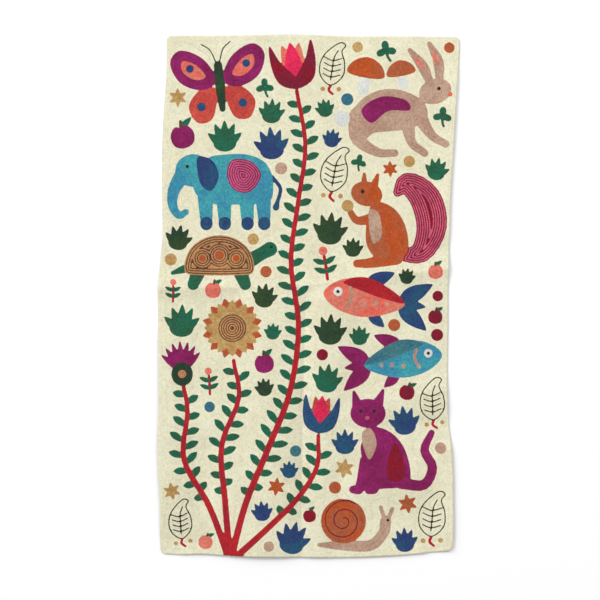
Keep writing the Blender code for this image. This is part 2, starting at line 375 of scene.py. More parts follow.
def tulip(outer="crimson", inner="pinkRed", tip="coral"):
    return [
        (tip, [leaf(0, -4, -2.2, 6.4, 3.2, .9), leaf(0, -4, 2.2, 6.4, 3.2, .9)]),
        (inner, [leaf(0, -4.6, 0, 6.8, 4.4, .8)]),
        (outer, [mirrored((0, -5), ((-4.2, -3.2), (-5.6, 1.4), (-5.2, 6.6), (-3.2, 2.2), (-.4, -1.6)),
                          (0, -2))]),
    ]


def thistle():
    rays = [leaf(0, -1, 5.4 * np.sin(a), 1.4 + 5.4 * np.cos(a), 1.6) for a in np.linspace(-1.15, 1.15, 7)]
    return [("magenta", rays), ("darkGreen", [oval(0, -1.6, 2.6, 2.9)]), ("tan", [spot(0, -1.6, 1)])]


def boteh():
    # A drawn paisley: one closed outline, a vein, ribs across, a hooked stem, berries.
    outline = ((0, -6), (-3.3, -3.6), (-3.9, .2), (-2.4, 3.8), (1.4, 7.2), (3.4, 6.6), (2.4, 4.6),
               (3.6, 1.2), (3.4, -3))
    ribs = [drawn((-2.9, y), (-.2, y - .9), (2.7, y)) for y in (-2.6, -.9, .8, 2.5)]
    vein = drawn((-.2, -4.6), (0, -1), (.2, 2.4), (1.3, 5))
    return [("dark", [drawn(*outline, closed=True), vein] + ribs),
            ("red", [stroke((0, -6.2, .42), (-.4, -7.6, .42), (.9, -8.7, .36))]),
            ("ochre", [spot(-2.3, -7.4, .72), spot(2.7, -7, .72)])]


def lotus(yarn="navy"):
    fan = [leaf(0, -2.4, 3.6 * np.sin(a), -1.6 + 4.4 * np.cos(a), 1.5, .9)
           for a in (-1.1, -.55, 0, .55, 1.1)]
    return [(yarn, fan + [oval(0, -1.55, 2.15, 1.6)])]


def trefoil(yarn="leafGreen"):
    return [(yarn, [oval(0, 1.7, 1.15, 1.5), oval(-1.7, -.4, 1.5, 1.15, 18),
                    oval(1.7, -.4, 1.5, 1.15, -18), spot(0, .2, .8),
                    stroke((0, 0, .5), (.2, -2, .42), (.8, -3.4, .42))])]


def fruit(yarn="coral"):
    return [("leafGreen", [leaf(0, 1.6, 2.6, 3.4, 1.3)]),
            ("brown", [stroke((0, 1.2, .34), (.2, 3, .3))]),
            (yarn, [mirrored((0, 1.6), ((1.2, 2), (2.4, .4), (2, -1.8)), (0, -2.6))])]


def sprig(yarn="coral"):
    leaves = [leaf(0, y, s * 2.7, y + 1.4, 1.3) for y in (-1.9, .1) for s in (1, -1)]
    return [("red", [stroke((0, -3.4, .36), (.1, 0, .34), (0, 2.6, .32))]), ("leafGreen", leaves),
            (yarn, [spot(0, 3, 1)])]


def star(yarn="ochre"):
    rays = np.pi / 2 + 2 * np.pi * np.arange(6) / 6
    points = [leaf(0, 0, 2.6 * np.cos(a), 2.6 * np.sin(a), 1.25, .6) for a in rays]
    return [(yarn, points + [spot(0, 0, .9)])]


def mushroom(cap="rust"):
    return [("paleGrey", [stroke((0, 0, .85), (0, -2.8, 1.1))]),
            (cap, [mirrored((0, -.8), ((-3.3, -.3), (-2.5, 1.8)), (0, 2.9))])]


def dot(yarn="ochre"):
    return [(yarn, [spot(0, 0, 1.9)])]


vineForm = {
    "foot": 1.0, "tip": 0.55,      # radius of the stem
    "bare": 20,                    # way along the stem to the first leaf
    "end": 3,                      # and without a leaf at its tip
    "gap": 4.5, "length": 5.8, "width": 2.15, "bulge": 1.25, "bend": 0.25,
    "angle": 58,                   # between leaf and stem, in degrees
    "shortens": 0.25,              # share of a leaf's length lost by the stem's tip
    "unlike": 0.08,                # how much the leaves' lengths differ
    "lowest": 0.6, "grows": 0.2,   # the lowest leaf's share of its length, and the gain by the next
}


def vineStem(points):
    # A stroke whose radius shrinks evenly from foot to tip.
    p = np.column_stack([points, np.linspace(vineForm["foot"], vineForm["tip"], len(points))])
    return [("red", [("stroke", smoothCurve(p, closed=False, per=6))])]


def vineLeaves(points):
    # Leaves a step apart by arc length on both sides, half a step out of step, each
    # turned off the stem's direction by the angle. The lowest ones are short, and from
    # the third on they shorten again towards the tip.
    curve = smoothCurve(points, closed=False, per=10)
    s = np.concatenate([[0], np.cumsum(np.hypot(*np.diff(curve, axis=0).T))])
    bare, gap = vineForm["bare"], vineForm["gap"]
    layers = []
    for side in (1, -1):
        at = np.arange(bare + (gap / 2 if side < 0 else 0), s[-1] - vineForm["end"], gap)
        x, y = (np.interp(at, s, c) for c in curve.T)
        nextX, nextY = (np.interp(at + 1, s, c) for c in curve.T)
        aim = np.arctan2(nextY - y, nextX - x) + side * np.radians(vineForm["angle"])
        size = vineForm["length"] * (1 - vineForm["shortens"] * at / s[-1])
        size = size * (1 + vineForm["unlike"] * np.sin(5 * np.arange(len(at)) + side))
        size = size * np.minimum(vineForm["lowest"] + vineForm["grows"] * (at - bare) / gap, 1)
        tipX, tipY = x + size * np.cos(aim), y + size * np.sin(aim)
        for spots in zip(x, y, tipX, tipY):
            one = leaf(*spots, vineForm["width"], vineForm["bulge"], -side * vineForm["bend"])
            layers.append(("leafGreen", [one]))
    return layers


def placed(layers, x, y, size=1.0, turn=0.0, flip=False):
    # Centimetres to metres: flipped, scaled, turned and then moved.
    c, s = np.cos(np.radians(turn)), np.sin(np.radians(turn))
    out = []
    for yarn, shapes in layers:
        moved = []
        for kind, p in shapes:
            px, py = (-p[:, 0] if flip else p[:, 0]), p[:, 1]
            columns = [x + size * (px * c - py * s), y + size * (px * s + py * c)]
            if kind == "stroke":
                columns.append(size * p[:, 2])
            moved.append((kind, np.stack(columns, 1) / 100))
        out.append((yarn, moved))
    return out


# Where everything goes on the rug, in centimetres from its middle.

layout = {
    "vines": (
        ((-23, -78), (-29, -62), (-36.5, -48), (-35.5, -34), (-37, -25)),
        ((-23, -78), (-24.5, -60), (-25.5, -44), (-20.5, -30), (-22, -19)),
        ((-23, -78), (-18.5, -61), (-12, -45), (-5.5, -28), (-3.0, -9), (-5.2, 10), (-3, 28), (-1, 44),
         (-3.5, 60)),
        ((-23, -78), (-12, -68), (-3, -59), (2.4, -50), (2.8, -41))),
    "figures": (
        (bloom(), -22.4, -9.5, 1.22),
        (tulip(), -4.2, 66.5, 1.18, 10),
        (thistle(), -37.2, -21, 1.2, 4),
        (tulip("navy", "pinkRed", "orangeRed"), 3.4, -35.5, .95, -6),
        (elephant(), -24.2, 32, .98),
        (hare(), 24.5, 52.6, 1.1),
        (squirrel(), 23, 21.5, 1.16),
        (butterfly(), -26, 62, 1.22, 6),
        (fish(), 18, -1, 1.15, -8),
        (fish("turquoise", "slate", "magenta"), 26, -19, 1.1, 8, True),
        (tortoise(), -26.2, 9.4, 1.12),
        (cat(), 21.5, -45, 1.15),
        (snail(), 12.4, -68, 1.12, 0, True),
        (boteh(), 7.6, 36.5, 1.0, -8),
        (boteh(), 36.2, -30.8, .92, 4),
        (boteh(), 36.2, -64.5, 1.0, -3),
        (boteh(), -37.6, -66.0, .86, 6),
        (boteh(), 7, 67.4, .95, -6)),
    # fillers take turns where the free room, in centimetres, is more than this
    "fillers": (
        (4.4, ((lotus, "navy"), (lotus, "leafGreen"), (sprig, "coral"), (lotus, "darkGreen"),
               (lotus, "navy"), (mushroom, "rust"), (lotus, "leafGreen"), (fruit, "magenta"),
               (lotus, "darkGreen"))),
        (3.4, ((trefoil, "leafGreen"), (fruit, "coral"), (lotus, "navy"), (star, "ochre"),
               (lotus, "leafGreen"), (fruit, "crimson"), (lotus, "darkGreen"), (star, "rust"))),
        (2.9, ((dot, "ochre"), (dot, "rust"), (dot, "slate"), (dot, "taupe"), (dot, "crimson")))),
    "fillerReach": {"dot": 1.9, "trefoil": 3.5, "fruit": 3.4, "star": 2.6, "mushroom": 3.1, "lotus": 3.1,
                    "sprig": 3.9},
    "fillerGap": 0.9,      # kept free round each filler
    "fillerMost": 1.95,    # largest scale
    "fillerTurn": (37, 26),  # each is turned one step on, within the spread, in degrees
    "fillerCount": 200,    # at most
    "dotScale": (.82, .88, .94),
    "edgeRoom": 0.2,       # how much nearer a filler may stand to the rug's edge
}

# The rows of chain stitch.

stitch = {
    "row": 0.0034,         # from one row to the next
    "skirt": 1.3,          # how far a row reaches under its neighbours, in rows
    "length": 0.0050,      # of one stitch
    "height": 0.0023,      # crown of a row above the ground cloth
    "joint": 0.70,         # height where one loop enters the next, as a share
    "lap": 0.0003,         # height at which a skirt ends
    "wander": 0.00016,     # sideways unevenness of the hand
    "uneven": 0.07,        # unevenness of height
    "cell": 0.0017,        # grid that distances are worked out on
    "margin": 0.004,       # how far the grid goes past the rug
    "reach": 0.060,        # how far round a shape its distance is known
    "shortest": 0.0030,    # shorter rounds of a row are left out
    "thinnest": 0.0005,    # and so are flat ones, by their area over their length
    "apart": 0.001,        # keeps one row's travel off the next one's
    "tipReach": 0.4,       # the very ends of a line, as a share of reach and of height
    "tipHeight": 0.3,
    "rise": (0.8, 1.12),   # limits of the unevenness of height
    "pastCentre": 1.15,    # most radii of a bend that a skirt reaches on its inner side
    "tone": 0.5,           # how much the rows differ
    "edgesAtOnce": 12,     # edges, and places, worked out in one step to spare memory
    "spotsAtOnce": 64,
    "lineKinds": ("line", "closedLine"),
}

gridX, gridY = (np.arange(low - stitch["margin"], high + stitch["margin"], stitch["cell"])
                for low, high in list(zip(*cadBox))[:2])
allX, allY = np.meshgrid(gridX, gridY)


def shapeDistance(kind, p, x, y):
    # Distance to a shape, negative inside. A blob is a polygon: the nearest edge,
    # signed by how many edges a ray to the right crosses. A stroke is a chain of
    # rods: distance to each rod's axis less the radius there, which varies evenly
    # along it. A line is a rod of half a row's radius.
    ahead = np.roll(p, -1, 0) if kind in ("blob", "closedLine") else p[1:]
    start = p[:len(ahead)]
    best = np.full(x.shape, 1e3)
    odd = np.zeros(x.shape, bool)
    few = stitch["edgesAtOnce"]
    for k in range(0, len(start), few):
        a, b = start[k:k + few, :, None, None], ahead[k:k + few, :, None, None]
        ax, ay, ex, ey = a[:, 0], a[:, 1], b[:, 0] - a[:, 0], b[:, 1] - a[:, 1]
        t = np.clip(((x - ax) * ex + (y - ay) * ey) / np.maximum(ex * ex + ey * ey, 1e-12), 0, 1)
        d = np.hypot(x - ax - t * ex, y - ay - t * ey)
        if kind == "stroke":
            d = d - (a[:, 2] + t * (b[:, 2] - a[:, 2]))
        if kind == "blob":
            spans = (ay > y) != (b[:, 1] > y)
            crosses = spans & (x < ex * (y - ay) / np.where(ey == 0, 1e-12, ey) + ax)
            odd ^= crosses.sum(0) % 2 == 1
        best = np.minimum(best, d.min(0))
    if kind == "blob":
        best = np.where(odd, -best, best)
    return best - stitch["row"] / 2 if kind in stitch["lineKinds"] else best


def windowOf(p, around):
    # The part of the grid within a distance of a shape's points.
    return tuple(slice(*np.searchsorted(grid, (c.min() - around, c.max() + around)))
                 for grid, c in ((gridY, p[:, 1]), (gridX, p[:, 0])))


def joinedDepth(distance, x, y):
    # Inside several joined shapes the depth is the way to the nearest place of their
    # common outline, taken at the outline's crossings with the grid and halfway between.
    keys, points, enter, leave = rowPieces(-distance, 0.0, x[0, 0], y[0, 0])
    order = np.argsort(keys)
    start, end = (points[order[np.searchsorted(keys[order], side)]] for side in (enter, leave))
    outline = np.vstack([start, (start + end) / 2])
    inside = distance < 0
    px, py = x[inside], y[inside]
    best = np.full(px.shape, 1e3)
    few = stitch["spotsAtOnce"]
    for k in range(0, len(outline), few):
        spots = outline[k:k + few, :, None]
        best = np.minimum(best, np.hypot(px - spots[:, 0], py - spots[:, 1]).min(0))
    distance[inside] = np.minimum(distance[inside], -best)


def addLayers(pattern, layers, cover):
    # Each layer keeps its window and its distance there; cover is the least of all.
    for yarn, shapes in layers:
        points = np.vstack([p[:, :2] for kind, p in shapes])
        widest = max([p[:, 2].max() for kind, p in shapes if kind == "stroke"], default=0)
        window = windowOf(points, stitch["reach"] + widest)
        x, y = allX[window], allY[window]
        if x.size == 0:
            continue
        distance = np.full(x.shape, stitch["reach"])
        for kind, p in shapes:
            distance = np.minimum(distance, shapeDistance(kind, p, x, y))
        lines = [(kind, p) for kind, p in shapes if kind in stitch["lineKinds"]]
        if len(shapes) - len(lines) > 1:
            joinedDepth(distance, x, y)
        pattern.append({"yarn": yarn, "window": window, "distance": distance, "lines": lines,
                        "filled": len(lines) < len(shapes)})
        cover[window] = np.minimum(cover[window], distance)


def drawPattern():
    # Figures by the layout, then fillers one by one at the roomiest place left.
    pattern = []
    cover = np.full(allX.shape, stitch["reach"])
    for part in (vineLeaves, vineStem):
        for vine in layout["vines"]:
            addLayers(pattern, placed(part(vine), 0, 0), cover)
    for layers, *where in layout["figures"]:
        addLayers(pattern, placed(layers, *where), cover)
    print("figures drawn:", len(pattern), "layers")
    border = edgeDepth(allX, allY) + layout["edgeRoom"] / 100
    turns = [0] * len(layout["fillers"])
    step, spread = layout["fillerTurn"]
    for n in range(layout["fillerCount"]):
        free = np.minimum(cover, border)
        i, j = np.unravel_index(np.argmax(free), free.shape)
        room = free[i, j] * 100
        tiers = [k for k, tier in enumerate(layout["fillers"]) if room > tier[0]]
        if not tiers:
            break
        choices = layout["fillers"][tiers[0]][1]
        kind, yarn = choices[turns[tiers[0]] % len(choices)]
        turns[tiers[0]] += 1
        most = layout["dotScale"][n % 3] if kind is dot else layout["fillerMost"]
        size = min((room - layout["fillerGap"]) / layout["fillerReach"][kind.__name__], most)
        turn = n * step % spread - spread // 2
        addLayers(pattern, placed(kind(yarn), gridX[j] * 100, gridY[i] * 100, size, turn), cover)
    print("fillers drawn:", turns)
    return pattern


# For each of the 16 ways a cell's corners can lie, the side a row enters by and the
# side it leaves by, deeper stitching on its left: 0 bottom, 1 right, 2 top, 3 left.
crossings = {"enter": (0, 0, 1, 1, 2, 0, 2, 2, 3, 0, 1, 1, 3, 0, 3, 0),
             "leave": (0, 3, 0, 3, 1, 3, 0, 3, 2, 2, 0, 2, 1, 1, 0, 0),
             "saddle": {5: (2, 1), 10: (3, 2)}}


def rowPieces(depth, level, x0, y0):
    # Marching squares: the level's crossing on each grid edge by straight
    # interpolation, and for each cell the edges that the row passes from and to.
    ny, nx = depth.shape
    deep = depth > level
    keys, points = [], []
    for up, right in ((0, 1), (1, 0)):
        i, j = np.nonzero(deep[:ny - up, :nx - right] != deep[up:, right:])
        t = (level - depth[i, j]) / (depth[i + up, j + right] - depth[i, j])
        keys.append(up * ny * nx + i * nx + j)
        spots = (x0 + (j + right * t) * stitch["cell"], y0 + (i + up * t) * stitch["cell"])
        points.append(np.stack(spots, 1))
    case = deep[:-1, :-1] + 2 * deep[:-1, 1:] + 4 * deep[1:, 1:] + 8 * deep[1:, :-1]
    i, j = np.nonzero((case > 0) & (case < 15))
    case = case[i, j]
    sides = np.stack([i * nx + j, ny * nx + i * nx + j + 1, (i + 1) * nx + j, ny * nx + i * nx + j])
    pick = np.arange(len(case))
    enter = [sides[np.array(crossings["enter"])[case], pick]]
    leave = [sides[np.array(crossings["leave"])[case], pick]]
    for which, (a, b) in crossings["saddle"].items():
        enter.append(sides[a][case == which])
        leave.append(sides[b][case == which])
    return np.concatenate(keys), np.vstack(points), np.concatenate(enter), np.concatenate(leave)


def traceRegion(store, depth, window, yarns):
    # Rows at half a row's width from the border and then a whole row apart. Keys are
    # shifted so that no two rows share one.
    depth = depth.copy()
    depth[[0, -1], :] = -1
    depth[:, [0, -1]] = -1
    y0, x0 = gridY[window[0]][0], gridX[window[1]][0]
    for k in range(int(depth.max() / stitch["row"] + 0.5)):
        keys, points, enter, leave = rowPieces(depth, (k + 0.5) * stitch["row"], x0, y0)
        if len(keys) == 0:
            continue
        shift = len(store) * 2 * allX.size
        yarn = np.full(len(keys), yarnIndex[yarns[k % len(yarns)]])
        store.append((keys + shift, points, enter + shift, leave + shift, yarn))


def linkRows(store):
    # Every crossing knows the next one along its row, and all rows are closed rounds.
    # Doubling the steps finds each round's first crossing and everyone's rank.
    keys, points, enter, leave, yarn = (np.concatenate(part) for part in zip(*store))
    order = np.argsort(keys)
    keys, points, yarn = keys[order], points[order], yarn[order]
    ahead = np.arange(len(keys))
    ahead[np.searchsorted(keys, enter)] = np.searchsorted(keys, leave)
    doublings = int(np.ceil(np.log2(len(keys)))) + 1
    head = np.arange(len(keys))
    jump = ahead.copy()
    for k in range(doublings):
        head = np.minimum(head, head[jump])
        jump = jump[jump]
    last = head[ahead] == ahead
    jump = np.where(last, np.arange(len(keys)), ahead)
    left = (~last).astype(int)
    for k in range(doublings):
        left = left + left[jump]
        jump = jump[jump]
    order = np.lexsort((-left, head))
    starts = np.nonzero(np.diff(head[order], prepend=-1))[0]
    sizes = np.diff(np.append(starts, len(order)))
    # the first crossing comes again at the end of its round
    closing = np.insert(order, starts + sizes, order[starts])
    return points[closing], np.repeat(np.arange(len(starts)), sizes + 1), yarn[order[starts]]


def pickLines(pattern):
    # Drawn lines become single rows of their own, with the first point again at the
    # end of a closed one.
    lines = [(layer["yarn"], kind, p) for layer in pattern for kind, p in layer["lines"]]
    runs = [np.vstack([p, p[:1]]) if kind == "closedLine" else p for yarn, kind, p in lines]
    owner = np.repeat(np.arange(len(runs)), [len(run) for run in runs])
    yarns = np.array([yarnIndex[yarn] for yarn, kind, p in lines])
    return np.vstack(runs), owner, yarns, np.array([kind == "closedLine" for yarn, kind, p in lines])


def layRows(pattern):
    # From the top layer down, what lies above and what lies past the edge is cut out
    # of each; the ground comes last.
    store = []
    above = edgeDepth(allX, allY) - cloth["roll"]
    for layer in reversed(pattern):
        window = layer["window"]
        if layer["filled"]:
            depth = np.minimum(-layer["distance"], above[window])
            yarns = layer["yarn"] if isinstance(layer["yarn"], tuple) else (layer["yarn"],)
            traceRegion(store, depth, window, yarns)
        above[window] = np.minimum(above[window], layer["distance"])
    traceRegion(store, above, (slice(0, None), slice(0, None)), ("cream",))
    points, owner, yarns = linkRows(store)
    linePoints, lineOwner, lineYarns, lineClosed = pickLines(pattern)
    points = np.vstack([points, linePoints])
    owner = np.concatenate([owner, lineOwner + len(yarns)])
    closed = np.concatenate([np.ones(len(yarns), bool), lineClosed])
    return points, owner, np.concatenate([yarns, lineYarns]), closed


def wholeStitches(points, owner, yarns, closed):
    # Each row is divided into whole stitches of about the stated length, and two
    # samples are taken for each: its joint and its middle.
    step = np.hypot(*np.diff(points, axis=0, prepend=points[:1]).T)
    starts = np.nonzero(np.diff(owner, prepend=-1))[0]
    step[starts] = 0
    travel = np.cumsum(step)
    ends = np.append(starts[1:], len(owner)) - 1
    length = travel[ends] - travel[starts]
    apart = stitch["apart"] * np.arange(len(starts))
    ahead = np.roll(points, -1, 0)
    swept = 0.5 * (points[:, 0] * ahead[:, 1] - ahead[:, 0] * points[:, 1])
    swept[ends] = 0
    area = np.add.reduceat(swept, starts)
    flat = closed & (area > 0) & (area < stitch["thinnest"] * length)
    kept = np.nonzero((length > stitch["shortest"]) & ~flat)[0]
    count = np.maximum(np.round(length[kept] / stitch["length"]).astype(int), 2)
    samples = 2 * count + 1
    row = np.repeat(np.arange(len(kept)), samples)
    first = np.concatenate([[0], np.cumsum(samples)[:-1]])
    index = np.arange(len(row)) - first[row]
    at = (travel[starts] + apart)[kept][row] + length[kept][row] * index / (samples - 1)[row]
    x, y = (np.interp(at, travel + apart[owner], c) for c in points.T)
    last = first + samples - 1
    isClosed = closed[kept]
    before, after = np.arange(len(row)) - 1, np.arange(len(row)) + 1
    before[first] = np.where(isClosed, last - 1, first)
    after[last] = np.where(isClosed, first + 1, last)
    inX, inY, outX, outY = x - x[before], y - y[before], x[after] - x, y[after] - y
    bend = np.arctan2(inX * outY - inY * outX, inX * outX + inY * outY)
    bend = bend / np.maximum(0.5 * (np.hypot(inX, inY) + np.hypot(outX, outY)), 1e-9)
    tx, ty = x[after] - x[before], y[after] - y[before]
    size = np.maximum(np.hypot(tx, ty), 1e-9)
    return {"x": x, "y": y, "tx": tx / size, "ty": ty / size, "row": row, "index": index,
            "yarn": yarns[kept][row], "last": index == (samples - 1)[row], "closed": isClosed[row],
            "bend": bend, "count": len(kept)}


def stitchSections(rows):
    # At every sample a section of three points: skirt, crown, skirt. The crown is
    # high at a stitch's middle and low at its joints. A skirt falls evenly to the lap's
    # height at its full reach. On the inner side of a bend it is cut off just past the
    # bend's centre.
    middle = rows["index"] % 2 == 1
    wander = draws.normal(0, stitch["wander"], len(middle))
    rise = 1 + draws.normal(0, stitch["uneven"], len(middle))
    tip = ~rows["closed"] & (rows["last"] | (rows["index"] == 0))
    reach = stitch["row"] * stitch["skirt"] * np.where(tip, stitch["tipReach"], 1.0)
    high = stitch["height"] * np.where(middle, 1.0, stitch["joint"]) * np.clip(rise, *stitch["rise"])
    high = high * np.where(tip, stitch["tipHeight"], 1.0)
    left, right = (np.minimum(reach, stitch["pastCentre"] / np.maximum(bend, 1e-3))
                   for bend in (rows["bend"], -rows["bend"]))
    nx, ny = -rows["ty"], rows["tx"]
    x = rows["x"] + nx * wander
    y = rows["y"] + ny * wander
    across = np.stack([x + nx * left, x, x - nx * right], 1)
    upward = np.stack([y + ny * left, y, y - ny * right], 1)
    lap = stitch["lap"]
    skirts = [lap + (high - lap) * (1 - side / reach) for side in (left, right)]
    up = np.stack([skirts[0], high, skirts[1]], 1) + cloth["ground"]
    z = clothLift(across, upward) + up
    return np.stack([across, upward, z], 2)


# Wool yarns: the dye as sRGB, 0 to 255, and the shade that it wanders towards.
yarnDyes = {
    "cream": ((231, 227, 199), (224, 219, 189)),
    "red": ((178, 38, 44), (158, 34, 48)),
    "leafGreen": ((32, 103, 78), (44, 90, 64)),
    "darkGreen": ((52, 74, 44), (40, 62, 48)),
    "navy": ((46, 62, 110), (40, 84, 112)),
    "turquoise": ((68, 161, 164), (60, 134, 164)),
    "slate": ((52, 104, 126), (70, 120, 124)),
    "magenta": ((143, 36, 99), (124, 30, 80)),
    "crimson": ((136, 22, 38), (120, 30, 52)),
    "rust": ((182, 80, 36), (168, 92, 60)),
    "coral": ((222, 102, 86), (214, 122, 104)),
    "taupe": ((187, 156, 134), (174, 138, 119)),
    "tan": ((196, 142, 96), (182, 128, 90)),
    "ochre": ((192, 158, 102), (178, 138, 84)),
    "brown": ((98, 74, 44), (84, 60, 40)),
    "paleGrey": ((222, 224, 217), (206, 208, 204)),
    "orangeRed": ((198, 80, 66), (184, 66, 60)),
    "pinkRed": ((228, 46, 90), (208, 40, 78)),
    "rose": ((200, 98, 124), (186, 82, 108)),
    "dark": ((44, 48, 26), (52, 44, 34)),
}
yarnNames = list(yarnDyes)
yarnIndex = {name: k for k, name in enumerate(yarnNames)}


def linearColour(colour):
    # sRGB to linear light: a straight foot and then a power of 2.4.
    c = np.array(colour) / 255
    return (*np.where(c <= 0.04045, c / 12.92, ((c + 0.055) / 1.055) ** 2.4), 1.0)


def addObject(name, data):
    thing = bpy.data.objects.new(name, data)
    bpy.context.scene.collection.objects.link(thing)
    return thing


def makeMesh(name, points, quads):
    # Points and four-cornered faces as a smooth mesh, its object at the origin.
    mesh = bpy.data.meshes.new(name)
    mesh.vertices.add(len(points))
    mesh.vertices.foreach_set("co", points.astype(np.float32).ravel())
    mesh.loops.add(quads.size)
    mesh.loops.foreach_set("vertex_index", quads.astype(np.int32).ravel())
    mesh.polygons.add(len(quads))
    mesh.polygons.foreach_set("loop_start", np.arange(0, quads.size, 4, dtype=np.int32))
    mesh.update(calc_edges=True)
    mesh.shade_smooth()
    return addObject(name, mesh)


def addUv(thing, name, corners):
    # One pair of coordinates for each corner of each face.
    layer = thing.data.uv_layers.new(name=name, do_init=False)
    layer.uv.foreach_set("vector", corners.astype(np.float32).ravel())


def planUv(x, y):
    # The piece seen from above, fitted into the unit square with a thin margin.
    fit = [0.01 + 0.98 * (c - c.min()) / (c.max() - c.min()) for c in (x, y)]
    return np.stack(fit, -1)


def rowPiece(name, rows, sections, wanted, tones):
    # Two strips of faces lead from each section to the next one of its row, left of
    # the crown and right of it. A closed row's last section is its first again.
    pick = np.nonzero(wanted)[0]
    index, last = rows["index"][pick], rows["last"][pick]
    again = last & rows["closed"][pick]
    number = np.cumsum(~again) - 1
    number[again] = number[np.nonzero(again)[0] - index[again]]
    points = sections[pick][~again].reshape(-1, 3)
    here = np.nonzero(~last)[0]
    a, b = 3 * number[here], 3 * number[here + 1]
    quads = np.stack([a + 1, b + 1, b, a, a + 2, b + 2, b + 1, a + 1], 1).reshape(-1, 4)
    thing = makeMesh(name, points, quads)
    corners = points[quads.ravel()]
    addUv(thing, "OFBake", planUv(corners[:, 0], corners[:, 1]))
    u = index[here] / 2
    w = u + 0.5
    full, half, none = np.ones_like(u), np.full_like(u, 0.5), np.zeros_like(u)
    leftFace, rightFace = [u, half, w, half, w, none, u, none], [u, full, w, full, w, half, u, half]
    addUv(thing, "stitch", np.stack(leftFace + rightFace, 1))
    tone = thing.data.attributes.new("tone", "FLOAT", "POINT")
    tone.data.foreach_set("value", np.repeat(tones[rows["row"][pick][~again]], 3).astype(np.float32))
    return thing


# The ground cloth.

backing = {
    "field": 0.0007,       # how far the single cloth lies above the turned hem's underside
    "rim": 0.0020,         # thickness of the fold at the very edge
    "hem": 0.0250,         # width of the turned hem
    "rimWidth": 0.001,     # the edge as far in as this is as thick as the fold
    "rimAngles": (-45, 0, 45),
    # mesh lines at the edge; the hem ends between the last two
    "lines": (0, .003, .007, .012, .0235, .0255),
}


def edgeFractions(cells, length):
    # Close lines at both edges and even cells between.
    near = np.array(backing["lines"]) / length
    inner = np.linspace(near[-1], 1 - near[-1], cells + 1)
    return np.concatenate([near[:-1], inner, 1 - near[-2::-1]])


def roundedCorner(side, end):
    # Square rings about a corner's centre become round ones: a point's offset from
    # the centre is scaled by its longer part over its length.
    r = cloth["corner"]
    p, q = np.maximum(r - side, 0), np.maximum(r - end, 0)
    scale = np.maximum(p, q) / np.maximum(np.hypot(p, q), 1e-9)
    inside = (p > 0) & (q > 0)
    return np.where(inside, p * (1 - scale), 0), np.where(inside, q * (1 - scale), 0)


def makeCloth():
    # The outline's grid twice, underneath and on top, joined by a half-round rim:
    # its depth inward goes with 1 - cos a and its height with 1 + sin a.
    u, v = np.meshgrid(edgeFractions(cloth["across"], cloth["width"]),
                       edgeFractions(cloth["along"], cloth["length"]))
    x, y = outlinePoint(u, v)
    inX, inY = roundedCorner(cloth["width"] * np.minimum(u, 1 - u), cloth["length"] * np.minimum(v, 1 - v))
    x = x - middleX + inX * np.where(u < 0.5, 1, -1)
    y = y - middleY + inY * np.where(v < 0.5, 1, -1)
    ny, nx = x.shape
    number = np.arange(ny * nx).reshape(ny, nx)
    border = np.concatenate([number[0, :-1], number[:-1, -1], number[-1, :0:-1], number[:0:-1, 0]])
    bx, by = x.ravel()[border], y.ravel()[border]
    tx, ty = np.roll(bx, -1) - np.roll(bx, 1), np.roll(by, -1) - np.roll(by, 1)
    size = np.hypot(tx, ty)
    inwardX, inwardY = -ty / size, tx / size
    x.flat[border] += inwardX * cloth["roll"]
    y.flat[border] += inwardY * cloth["roll"]
    lift = clothLift(x, y)
    depth = np.minimum(np.minimum(u, 1 - u) * cloth["width"], np.minimum(v, 1 - v) * cloth["length"])
    under = lift + np.where(depth > backing["hem"], backing["field"], 0)
    top = lift + np.where(depth < backing["rimWidth"], backing["rim"], cloth["ground"])
    points = [np.stack([x, y, z], -1).reshape(-1, 3) for z in (under, top)]
    rimLift = clothLift(bx, by)
    for a in np.radians(backing["rimAngles"]):
        inward = cloth["roll"] * (1 - np.cos(a))
        height = rimLift + backing["rim"] / 2 * (1 + np.sin(a))
        points.append(np.stack([bx + inwardX * inward, by + inwardY * inward, height], -1))
    cell = np.stack([number[:-1, :-1], number[:-1, 1:], number[1:, 1:], number[1:, :-1]], -1).reshape(-1, 4)
    rim = 2 * ny * nx + np.arange(len(backing["rimAngles"]) * len(border)).reshape(-1, len(border))
    rings = [border, *rim, border + ny * nx]
    quads = [cell[:, ::-1], cell + ny * nx]
    for low, high in zip(rings[:-1], rings[1:]):
        quads.append(np.stack([low, np.roll(low, -1), np.roll(high, -1), high], -1))
    points, quads = np.vstack(points), np.vstack(quads)
    thing = makeMesh("ground_cloth", points, quads)
    uv = planUv(points[:, 0], points[:, 1])[quads.ravel()] * (0.5, 1)
    uv[4 * len(cell):, 0] += 0.5
    addUv(thing, "OFBake", uv)
    return thing


# The finishes of wool and cotton.

def setInputs(node, values):
    for key, value in values.items():
        node.inputs[key].default_value = value


def put(tree, kind, feeds=None, **fields):
    # One node. A feed is a socket to link from or a value to set.
    node = tree.nodes.new("ShaderNode" + kind)
    for field, value in fields.items():
        setattr(node, field, value)
    for key, value in (feeds or {}).items():
        if isinstance(value, bpy.types.NodeSocket):
            tree.links.new(value, node.inputs[key])
        else:
            setInputs(node, {key: value})
    return node


def maths(tree, operation, *values):
    return put(tree, "Math", dict(enumerate(values)), operation=operation).outputs[0]


def ramp(tree, value, low, high, start=0.0, end=1.0):
    # A smooth step from start to end while the value goes from low to high.
    feeds = {"Value": value, "From Min": low, "From Max": high, "To Min": start, "To Max": end}
    return put(tree, "MapRange", feeds, interpolation_type="SMOOTHSTEP").outputs[0]


def noise(tree, where, scale, detail, rough):
    feeds = {"Vector": where, "Scale": scale, "Detail": detail, "Roughness": rough}
    return put(tree, "TexNoise", feeds).outputs[0]


